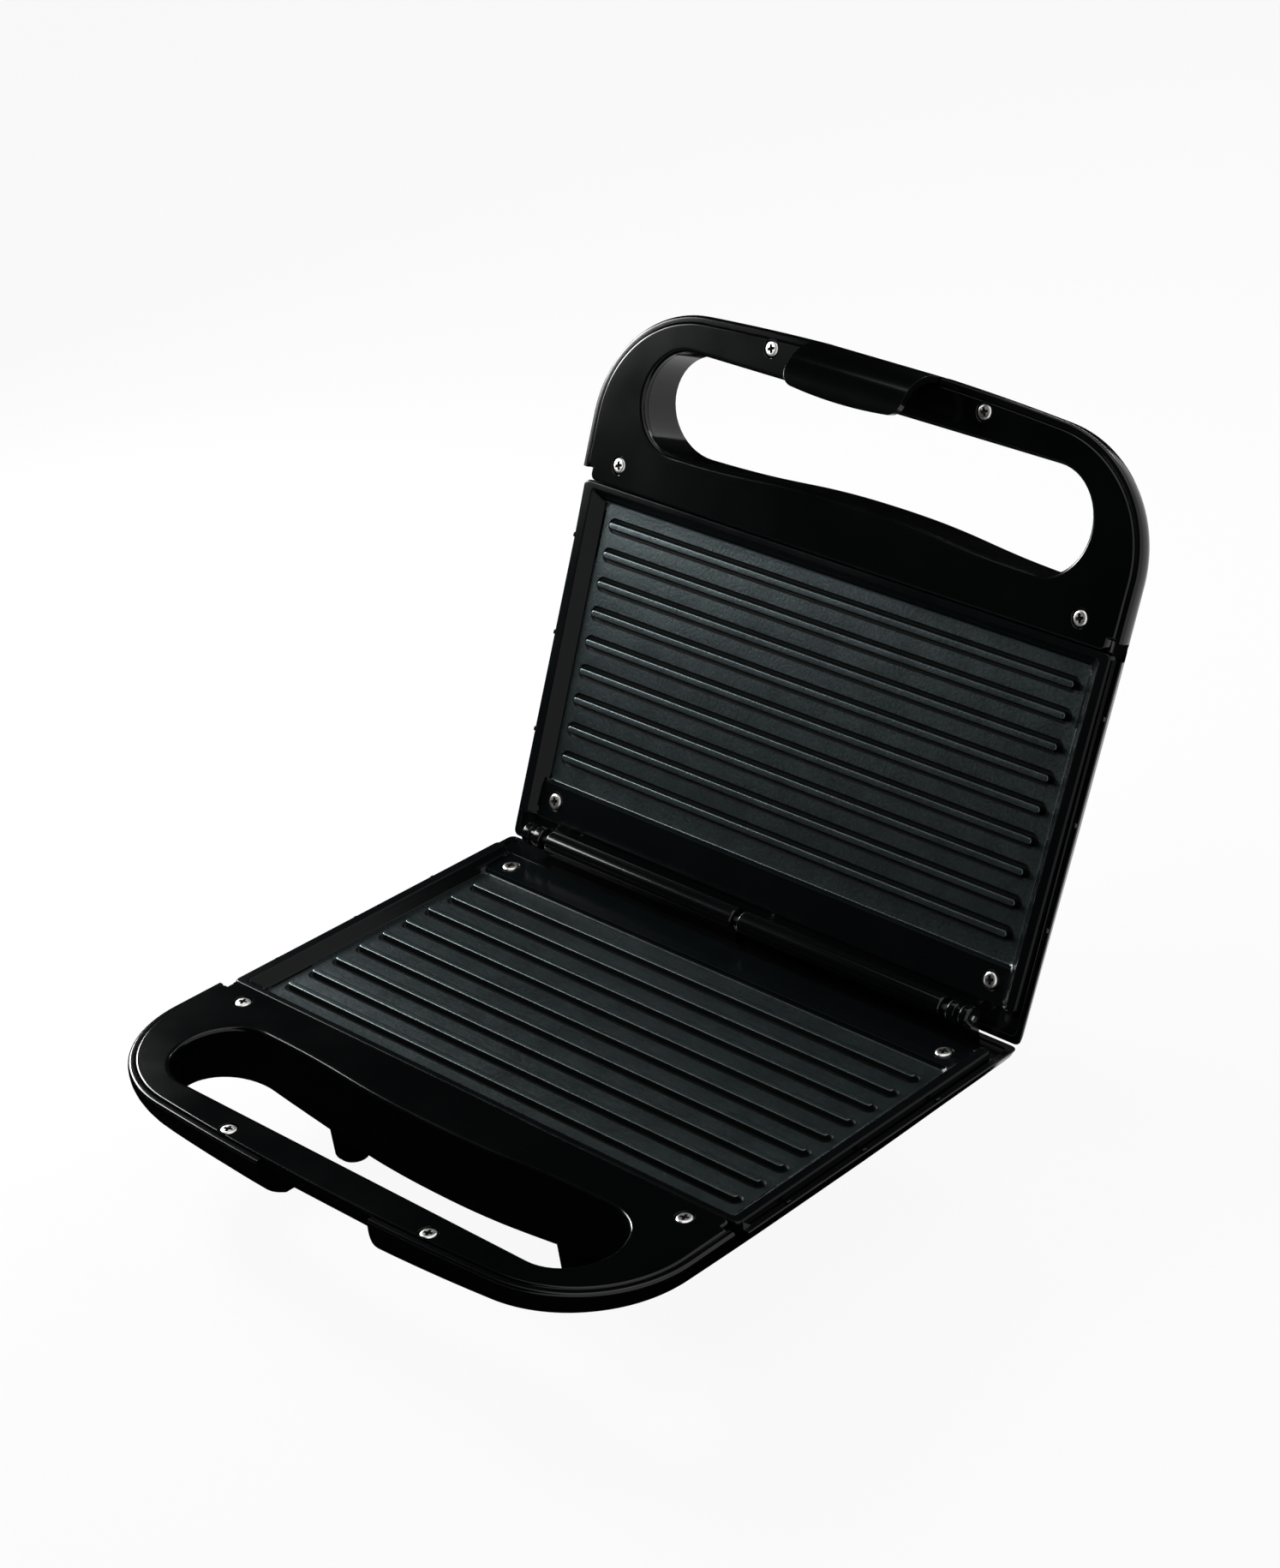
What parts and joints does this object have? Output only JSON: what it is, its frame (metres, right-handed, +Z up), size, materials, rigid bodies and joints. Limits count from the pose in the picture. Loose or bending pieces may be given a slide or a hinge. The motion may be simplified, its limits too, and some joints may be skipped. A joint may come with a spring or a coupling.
{
  "type": "panini press",
  "caption": "Hinged electric contact grill, open: two domed black halves with D-shaped handle rings, ribbed non-stick plates and a strap latch over the handle.",
  "frame": {"origin": "on the ground under the middle of the open press, level with the undersides of the foot pads", "axes": "+X along the hinge to the right, +Y from the handles to the back, +Z up from the surface that the press stands on"},
  "size_m": [0.27, 0.3232, 0.2453],
  "materials": {
    "shell_plastic": "gloss black injection moulding",
    "cover_plastic": "gloss black injection moulding",
    "latch_plastic": "gloss black injection moulding",
    "nonstick_casting": "die-cast aluminium with dark satin non-stick coat",
    "nickel_screw": "bright nickel plate",
    "pin_steel": "bright steel",
    "heater_sheath": "heat-tinted steel sheath",
    "reflector_sheet": "bright aluminised sheet",
    "black_rubber": "matt black rubber",
    "white_ceramic": "unglazed steatite",
    "phenolic": "dark brown phenolic",
    "red_lens": "clear red lens",
    "green_lens": "clear green lens",
    "lamp_glass": "clear glass"
  },
  "bodies": {
    "base": {"base_housing": "shell_plastic", "base_handle_cover": "cover_plastic", "base_grill_plate": "nonstick_casting", "base_heater": "heater_sheath", "base_reflector_tray": "reflector_sheet", "base_screw_1": "nickel_screw", "base_screw_2": "nickel_screw", "base_screw_3": "nickel_screw", "base_screw_4": "nickel_screw", "base_screw_5": "nickel_screw", "base_screw_6": "nickel_screw", "hinge_pin": "pin_steel", "thermal_fuse": "white_ceramic", "terminal_block": "phenolic", "cord_gland": "black_rubber", "foot_pad_1": "black_rubber", "foot_pad_2": "black_rubber", "foot_pad_3": "black_rubber", "foot_pad_4": "black_rubber"},
    "lid": {"lid_housing": "shell_plastic", "lid_handle_cover": "cover_plastic", "lid_grill_plate": "nonstick_casting", "lid_heater": "heater_sheath", "lid_reflector_tray": "reflector_sheet", "lid_screw_1": "nickel_screw", "lid_screw_2": "nickel_screw", "lid_screw_3": "nickel_screw", "lid_screw_4": "nickel_screw", "lid_screw_5": "nickel_screw", "lid_screw_6": "nickel_screw", "thermostat": "pin_steel", "power_lens": "red_lens", "ready_lens": "green_lens", "power_lamp": "lamp_glass", "ready_lamp": "lamp_glass", "latch_pin": "pin_steel"},
    "latch": {"latch": "latch_plastic"}
  },
  "joints": [
    {"name": "lid_hinge", "type": "hinge", "parent": "base", "child": "lid", "pos_m": [0, 0.05307, 0.05], "axis": [1, 0, 0], "range_deg": [0, 117.4]},
    {"name": "latch_hinge", "type": "hinge", "parent": "lid", "child": "latch", "pos_m": [0, 0.15199, 0.2317], "axis": [-1, 0, 0], "range_deg": [0, 40]}
  ]
}
